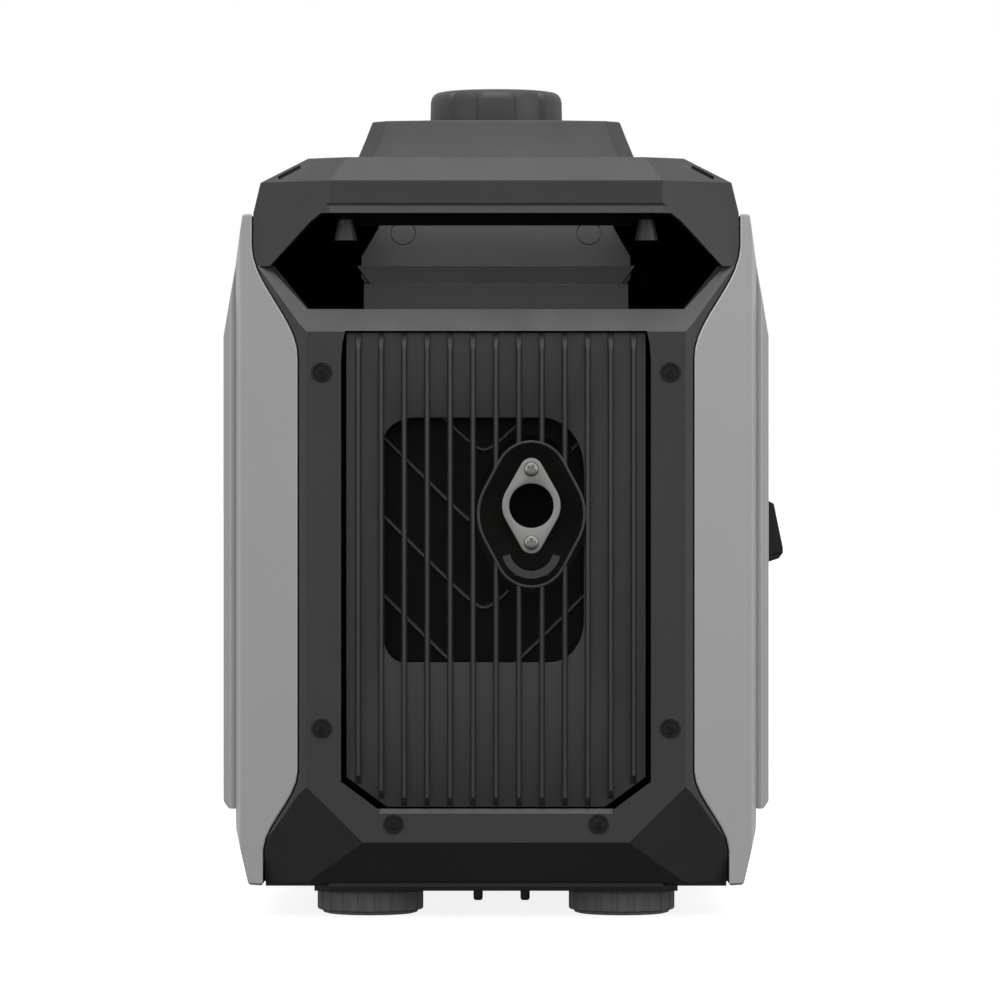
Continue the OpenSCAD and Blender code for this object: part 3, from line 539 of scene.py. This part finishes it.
def arc(cx, cz, rx, rz, start, end, steps=10):
    """Points along an elliptical arc, angles in degrees, sizes in millimetres."""
    angles = [math.radians(start + (end - start) * i / steps) for i in range(steps + 1)]
    return [((cx + rx * math.cos(a)) * MM, (cz + rz * math.sin(a)) * MM) for a in angles]


def lens(cx, cz, big, small, spread):
    """Outline round a circle and a smaller one above and below it: the gasket shape of the outlet."""
    lean = math.degrees(math.asin((big - small) / spread))
    return (arc(cx, cz + spread, small, small, lean, 180 - lean)
            + arc(cx, cz, big, big, 180 - lean, 180 + lean)
            + arc(cx, cz - spread, small, small, 180 + lean, 360 - lean)
            + arc(cx, cz, big, big, 360 - lean, 360 + lean))


def point_list(points):
    return [(x * MM, z * MM) for x, z in points]


outlet_mm = (outlet.x / MM, outlet.z / MM)
ring_mm = (outlet.x / MM, ring_z / MM)
plate_edge = point_list([(-78.4, 307.6), (-78.4, 75), (-57, 59.4), (57, 59.4), (78.4, 75), (78.4, 307.6)])
window = (arc(24, 236, 22, 27, 0, 90) + arc(-42, 250, 17, 13, 90, 180)
          + arc(-48, 149, 11, 14, 180, 270) + arc(28, 157, 18, 22, 270, 360))
plate = sheet("grille_plate", [plate_edge, window], plate_front, plate_back, grille_abs)
outlet_gap = sheet("outlet_gap", [lens(*ring_mm, 28.2, 19.2, 19.2)], plate_front - 0.01,
                   plate_back + 0.01, grille_abs, 0.0)
cut(plate, [outlet_gap])
collar = sheet("outlet_collar", [lens(*ring_mm, 28.5, 19.5, 19.2), lens(*ring_mm, 27.0, 18.0, 19.2)],
               fin_front - 0.4 * MM, plate_back + 5 * MM, grille_abs, 0.5)


def fin_mesh(name, low, high):
    """One fin: a tapered rib with a sloping ramp at each end, standing on the plate."""
    foot, crest = 1.6 * MM, 0.95 * MM
    back, root, front = plate_back, plate_front, fin_front
    lower, upper = 4.5 * MM, 9 * MM
    rows = [(low, root, foot), (low + lower * 0.8, front + 0.7 * MM, crest),
            (low + lower, front, crest * 0.8), (high - upper, front, crest * 0.8),
            (high - upper * 0.8, front + 0.7 * MM, crest), (high, root, foot)]
    mesh = bpy.data.meshes.new(name)
    work = bmesh.new()
    left = [work.verts.new((-w, y, z)) for z, y, w in rows]
    right = [work.verts.new((w, y, z)) for z, y, w in rows]
    left_root = [work.verts.new((-foot, root, z)) for z, _, _ in rows[1:-1]]
    right_root = [work.verts.new((foot, root, z)) for z, _, _ in rows[1:-1]]
    left_line = [left[0]] + left_root + [left[-1]]
    right_line = [right[0]] + right_root + [right[-1]]
    back_left = [work.verts.new((-foot * 0.8, back, v.co.z)) for v in left_line]
    back_right = [work.verts.new((foot * 0.8, back, v.co.z)) for v in right_line]
    for i in range(5):
        work.faces.new((left[i], right[i], right[i + 1], left[i + 1]))
        for outer, inner in ((left, left_line), (right, right_line)):
            ring = [outer[i], outer[i + 1], inner[i + 1], inner[i]]
            work.faces.new([v for k, v in enumerate(ring) if v not in ring[:k]])
        work.faces.new((left_line[i], left_line[i + 1], back_left[i + 1], back_left[i]))
        work.faces.new((right_line[i], right_line[i + 1], back_right[i + 1], back_right[i]))
        work.faces.new((back_left[i], back_left[i + 1], back_right[i + 1], back_right[i]))
    work.faces.new((left_line[0], back_left[0], back_right[0], right_line[0]))
    work.faces.new((left_line[-1], back_left[-1], back_right[-1], right_line[-1]))
    bmesh.ops.recalc_face_normals(work, faces=work.faces)
    work.to_mesh(mesh)
    work.free()
    return mesh


fin_meshes = []
for label, low, members in (("middle", 60, range(2, 11)), ("next", 63.5, (1, 11)), ("edge", 71.5, (0, 12))):
    one_fin = link_piece(label + "_fin", fin_mesh(label + "_fin", low * MM, 307.4 * MM), grille_abs)
    places = [((i - (fin_count - 1) / 2) * fin_pitch, 0, 0) for i in members]
    row = scatter(label + "_fins", places, one_fin, grille_abs)
    fin_meshes.append(row.data)
    bpy.data.objects.remove(row)
    bpy.data.objects.remove(one_fin)
fins = joined("grille_fins", fin_meshes, grille_abs)
inside_ring = sheet("ring_space", [lens(*ring_mm, 27.4, 18.4, 19.2)], fin_front - 0.02, plate_back + 0.02,
                    grille_abs, 0.0)
cut(fins, [inside_ring])
for part in (plate, collar, fins):
    finish_mesh(part.data, 30)
rear_grille = joined("finned_grille", [plate.data, collar.data, fins.data], grille_abs)
for part in (plate, collar, fins):
    bpy.data.objects.remove(part)
hand_over(rear_grille, "rear_grille")
# A near-black sheet behind the grille's edge: painted shadow that darkens the gap between grille and frame
gap_shadow_black = surface("painted_shadow_in_grille_gap", "#050505", 0.9, 0.8, 0.05, shade=0.3, specular=0.05)
gap_sheet_edge = point_list([(-81.4, 311), (-81.4, 73.5), (-58.5, 56), (58.5, 56), (81.4, 73.5), (81.4, 311)])
gap_sheet_hole = point_list([(-72, 301), (-72, 79), (-54, 66), (54, 66), (72, 79), (72, 301)])
surround = sheet("grille_seal", [gap_sheet_edge, gap_sheet_hole],
                 plate_back + 2 * MM, plate_back + 3.4 * MM, gap_shadow_black, 0.2)
hand_over(surround, "rear_grille", replace=False)

# ---------------------------------------------------------------------------
# Muffler and outlet: a pressed steel silencer box with a short tailpipe, closed by a plated
# diamond flange on two cross-head screws, and a black deflector lip under it.

heat_steel = surface("sooted_heat_tinted_steel", "#1d1916", 0.6, 1.5, 0.02, shade=0.35, specular=0.2)
moulded("muffler", heat_steel, 1.0, shortest_mm=6)
flange_mm = 19.2
flange = sheet("outlet_flange_plate",
               [lens(*outlet_mm, 15.4, 6.0, flange_mm), arc(*outlet_mm, 11.6, 11.6, 0, 360, 40)[:-1]],
               -case_end + 4 * MM, -case_end + 7 * MM, zinc, 0.4)
finish_mesh(flange.data, 30)
hand_over(flange, "outlet_flange")
flange_head = cross_head("flange_screw_head", 3.9 * MM, 2.6 * MM, zinc)
flange_heads = scatter("flange_screw_heads",
                       [(outlet.x, -case_end + 4 * MM, outlet.z + s * flange_mm * MM) for s in (-1, 1)],
                       flange_head, zinc, [0.0, 0.5])
bpy.data.objects.remove(flange_head)
hand_over(flange_heads, "flange_screws")
moulded("outlet_deflector", spark_abs, 0.5, shortest_mm=0.8)

# ---------------------------------------------------------------------------
# Top: the roof moulding with its two hand pockets, an arched handle across each end with a
# lining screwed up into it, and the flared collar that closes round the tank.

roof = moulded("top_cover", spark_abs, 0.9)
wall_foot, wall_head = Vector((0, -200, 343)) * MM, Vector((0, -180, 398)) * MM
wall_lean = math.atan2(wall_head.y - wall_foot.y, wall_head.z - wall_foot.z)
mark_r, mark_line, mark_z = 6.3, 0.5, 362
mark_cutters = []
for side in (-1, 1):
    for end in (0, math.pi):
        ring = turned("mould_mark", [(mark_r * MM, -0.8 * MM), ((mark_r + mark_line) * MM, -0.8 * MM),
                                     ((mark_r + mark_line) * MM, 0.8 * MM), (mark_r * MM, 0.8 * MM),
                                     (mark_r * MM, -0.8 * MM)])
        along = (mark_z * MM - wall_foot.z) / (wall_head.z - wall_foot.z)
        ring.transform(Matrix.Rotation(end, 4, "Z") @ Matrix.Translation(
            wall_foot.lerp(wall_head, along) + Vector((side * 49.5 * MM, 0, 0)))
            @ Matrix.Rotation(-wall_lean, 4, "X"))
        mark_cutters.append(link_piece("mould_mark", ring, spark_abs))
cut(roof, mark_cutters)
evened(roof)
# The wall behind each handle and the lip under it get a lighter grey as painted highlight, and a smoother
# finish than the rest
highlight_abs = surface("black_abs_with_painted_highlight", "#434343", 0.42, 0.9, 0.02, specular=0.5)
roof.data.materials.append(highlight_abs)
# The ends of each pocket get an almost black grey as painted shade, with a dull finish that hardly shines
pocket_shade_abs = surface("black_abs_with_painted_shade_in_the_pockets", "#030303", 0.9, 0.9, 0.04, specular=0.04)
roof.data.materials.append(pocket_shade_abs)
# Pocket ends take the painted shade (index 2), the upper wall behind the handle the painted highlight (index
# 1)
for face in roof.data.polygons:
    middle = face.center / MM
    deep = 166 < abs(middle.y) < 213.9 and 315 < middle.z < 396 and abs(middle.x) < 122
    if deep and (abs(middle.x) > 75 or abs(middle.y) < 168.5):
        face.material_index = 2
    elif deep and face.normal.y * middle.y > 0.3 and middle.z > 345:
        face.material_index = 1


def groove_tool(name, path, width, depth):
    """A square bar along a path on the end face, wide and deep enough to cut a groove there."""
    work = bmesh.new()
    rows = []
    for i, (x, z) in enumerate(path):
        ahead = Vector(path[min(i + 1, len(path) - 1)]) - Vector(path[max(i - 1, 0)])
        side = Vector((-ahead.y, ahead.x)).normalized() * width / 2
        rows.append([work.verts.new(Vector(p) * MM) for p in (
            (x - side.x, -252, z - side.y), (x + side.x, -252, z + side.y),
            (x + side.x, -250 + depth, z + side.y), (x - side.x, -250 + depth, z - side.y))])
    for low, high in zip(rows, rows[1:]):
        for k in range(4):
            work.faces.new((low[k], low[(k + 1) % 4], high[(k + 1) % 4], high[k]))
    work.faces.new(rows[0])
    work.faces.new(reversed(rows[-1]))
    bmesh.ops.recalc_face_normals(work, faces=work.faces)
    mesh = bpy.data.meshes.new(name)
    work.to_mesh(mesh)
    work.free()
    return mesh


lip_line = [(-99, 366), (-96, 369.5), (-92, 373), (-87, 374.4),
            (87, 374.4), (92, 373), (96, 369.5), (99, 366)]
for name, end in (("rear_handle", 0), ("front_handle", math.pi)):
    handle = moulded(name, spark_abs, 2.0, segments=4)
    tools = [groove_tool("lip_groove", lip_line, 1.5, 1.6)]
    tools += [groove_tool("shoulder_slot", [(s * 114.5, 389.3), (s * 103, 395.4)], 2.0, 26) for s in (-1, 1)]
    for tool in tools:
        tool.transform(Matrix.Rotation(end, 4, "Z"))
    cut(handle, [link_piece("handle_cutter", tool, spark_abs) for tool in tools])
    evened(handle)
    # The lip under the groove takes the lighter grey of the wall: painted highlight
    handle.data.materials.append(highlight_abs)
    for face in handle.data.polygons:
        at_end_face = abs(face.center.y) > case_end - 2.5 * MM and abs(face.normal.y) > 0.5
        if at_end_face and face.center.z < 373.6 * MM:
            face.material_index = 1
# The lining is soft, dead black rubber; its two screw bosses are the same black ABS as the handle
lining_rubber = surface("soft_black_lining_rubber", "#0b0b0b", 0.8, 0.8, 0.03, specular=0.1)
for name in ("rear_grip_liner", "front_grip_liner"):
    liner = moulded(name, lining_rubber, 0.6)
    liner.data.materials.append(spark_abs)
    for face in liner.data.polygons:
        if face.center.z < 366.5 * MM and 70 * MM < abs(face.center.x) < 88 * MM:
            face.material_index = 1
moulded("grip_screws", black_oxide, 0.3, shortest_mm=0.5)
moulded("tank_collar", spark_abs, 3.0, segments=5)

# ---------------------------------------------------------------------------
# Side covers: injection-moulded shells painted silver, a satin coat with fine flake. Each has
# a raised panel, and a rounded edge down the seam against the black frames.

silver_paint = surface("silver_satin_paint_on_abs", "#9c9c9c", 0.4, 0.5, 0.004, shade=0.03, metallic=0.35,
                       coat=0.25, smear=0.04)
moulded("left_side_cover", silver_paint, 1.45, segments=4)
moulded("right_side_cover", silver_paint, 1.45, segments=4)
moulded("left_service_panel", silver_paint, 1.6, segments=4)
moulded("right_panel", silver_paint, 1.6, segments=4)
moulded("service_latch", smooth_pp, 0.5, shortest_mm=0.8)

# ---------------------------------------------------------------------------
# Fuel cap: a black ABS cap with six wide grips, a sealing ring inside and a small vent lever
# that turns in a round well on top. It screws on to the neck of the blown tank.

cap_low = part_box("fuel_cap")[0]
cap_r, cap_foot = -cap_low.y / MM, cap_low.z / MM
cap_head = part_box("vent_lever")[1].z / MM - 0.2


def lobed(name, profile, lobes, depth, ridged, steps=240, turn=0.0):
    """A turned closed shape about Z, whose outermost rows dip between evenly spaced grips."""
    work = bmesh.new()
    rings = []
    for step in range(steps):
        angle = math.tau * step / steps
        wave = math.cos(lobes * (angle - turn))
        dip = depth * min(1, max(0, (0.1 - wave) / 0.4))
        rings.append([work.verts.new(Vector((
            (r - dip * k) * math.cos(angle), (r - dip * k) * math.sin(angle), z)) * MM)
            for (r, z), k in zip(profile, ridged)])
    for a, b in zip(rings, rings[1:] + rings[:1]):
        for k in range(len(profile) - 1):
            work.faces.new((a[k], a[k + 1], b[k + 1], b[k]))
    bmesh.ops.remove_doubles(work, verts=work.verts, dist=0.000001)
    bmesh.ops.recalc_face_normals(work, faces=work.faces)
    mesh = bpy.data.meshes.new(name)
    work.to_mesh(mesh)
    work.free()
    return mesh


cap_profile = [(0.001, 438.2), (27.5, 438.2), (27.5, cap_foot), (cap_r - 1, cap_foot),
               (cap_r - 0.2, cap_foot + 1), (cap_r, cap_foot + 4), (cap_r - 0.3, cap_head - 6.5),
               (cap_r - 1, cap_head - 3.6), (cap_r - 2.6, cap_head - 1.6), (cap_r - 4.6, cap_head - 0.5),
               (cap_r - 7, cap_head), (20, cap_head), (19, cap_head - 0.5), (18.5, cap_head - 1.6),
               (18.5, cap_head - 6.6), (3.1, cap_head - 6.6), (3.1, cap_head - 11.8),
               (0.001, cap_head - 11.8)]
cap_mesh = lobed("cap", cap_profile, 6, 2.4,
                 [0, 0, 0, 1, 1, 1, 1, 1, 0.9, 0.6, 0, 0, 0, 0, 0, 0, 0, 0], turn=math.radians(-90))
finish_mesh(cap_mesh, 30)
hand_over(link_piece("fuel_cap_with_grips", cap_mesh, spark_abs), "fuel_cap")
moulded("vent_lever", smooth_pp, 0.6, shortest_mm=0.8)

# ---------------------------------------------------------------------------
# Starter grip: a rubber-covered T-handle in a cup in the right-hand cover, on a braided rope
# that runs to the recoil pulley. The rope stretches out between the cover and the grip.

grip_rubber = surface("soft_touch_black_rubber", "#1b1b1b", 0.6, 1.0, 0.04, specular=0.3)
moulded("starter_grip", grip_rubber, 1.5, segments=4)
braid = surface("braided_nylon_rope", "#d8d4c8", 0.8, 1.2, 0.25, shade=0.25, pattern="ShaderNodeTexVoronoi")
rope_r, rope_start, rope_end = 2.1, 114, 136
rope_y, rope_z = -45, 203
rope_rings, rope_sides = 96, 16
rope_work = bmesh.new()
rows = []
for i in range(rope_rings + 1):
    x = rope_start + (rope_end - rope_start) * i / rope_rings
    rows.append([rope_work.verts.new(Vector((x, rope_y + rope_r * math.cos(math.tau * k / rope_sides),
                                             rope_z + rope_r * math.sin(math.tau * k / rope_sides))) * MM)
                 for k in range(rope_sides)])
for low, high in zip(rows, rows[1:]):
    for k in range(rope_sides):
        rope_work.faces.new((low[k], low[(k + 1) % rope_sides], high[(k + 1) % rope_sides], high[k]))
rope_work.faces.new(rows[0])
rope_work.faces.new(rows[-1])
bmesh.ops.recalc_face_normals(rope_work, faces=rope_work.faces)
rope_mesh = bpy.data.meshes.new("starter_rope")
rope_work.to_mesh(rope_mesh)
rope_work.free()
rope = link_piece("starter_rope", rope_mesh, braid)
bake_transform(rope)

# ---------------------------------------------------------------------------
# Control panel: a sunk ABS plate with its sockets, switches and terminals. Every piece is
# moulded in its own colour, so what turns or presses stands out from the plate.

red_abs = surface("red_polished_abs", "#a32a1a", 0.25, 2.0, 0.004, coat=0.4)
green_abs = surface("green_polished_abs", "#1f6b3a", 0.25, 2.0, 0.004, coat=0.4)
white_abs = surface("white_polished_abs", "#dcdcd8", 0.3, 2.0, 0.004, coat=0.3)
brass = surface("turned_brass", "#c9a94a", 0.3, 0.8, 0.006, metallic=1.0, stretch=(1, 8, 1))
moulded("control_panel", smooth_pp, 0.6)
moulded("engine_knob", spark_abs, 0.35, segments=2, shortest_mm=3, sharp_degrees=40)
moulded("eco_rocker", red_abs, 0.5, shortest_mm=0.8)
moulded("reset_button", green_abs, 0.5, shortest_mm=0.5)
moulded("breaker_button", white_abs, 0.5, shortest_mm=0.5)
moulded("ac_sockets", smooth_pp, 0.5, shortest_mm=2)
moulded("socket_lid_upper", spark_abs, 0.8)
moulded("socket_lid_lower", spark_abs, 0.8)
moulded("dc_socket", smooth_pp, 0.6, shortest_mm=0.8)
moulded("parallel_jacks", red_abs, 0.5, shortest_mm=0.5)
moulded("ground_terminal", brass, 0.4, shortest_mm=0.4)

# ---------------------------------------------------------------------------
# Engine and generator inside the case: castings, turned steel, the wound stator, the recoil
# starter, the tank and the inverter. Each CAD piece keeps its shape and gets its own finish.

cast_alloy = surface("sand_cast_aluminium", "#9a9b9c", 0.5, 1.8, 0.08, metallic=0.9,
                     pattern="ShaderNodeTexVoronoi")
turned_steel = surface("turned_steel", "#b4b4b4", 0.28, 0.6, 0.01, metallic=1.0, stretch=(6, 1, 1))
grey_iron = surface("machined_grey_iron", "#5e5e5e", 0.45, 1.0, 0.02, metallic=0.9)
copper_wire = surface("enamelled_copper_winding", "#b5713a", 0.35, 1.0, 0.15, metallic=0.8,
                      stretch=(8, 1, 1))
glazed_ceramic = surface("glazed_ceramic", "#e6e2d8", 0.2, 3.0, 0.004, coat=0.5)
yellow_nylon = surface("yellow_moulded_nylon", "#c8a21e", 0.4, 1.5, 0.01)
finish_of_slot = {
    "cast_aluminium": cast_alloy, "machined_steel": turned_steel, "cast_iron": grey_iron,
    "copper_winding": copper_wire, "ceramic": glazed_ceramic, "yellow_plastic": yellow_nylon,
    "dark_plastic": smooth_pp, "rubber": nitrile, "black_plastic": spark_abs, "black_screw": black_oxide,
    "zinc_steel": zinc, "black_steel": stove_black,
}
for node_name, cad_piece in frame["nodes"].items():
    if cad_piece.hide_render or node_name in ("frame_screws", "heat_shield"):
        continue
    for cad_slot in cad_piece.material_slots:
        cad_slot.material = finish_of_slot[slot_of_node[node_name]]
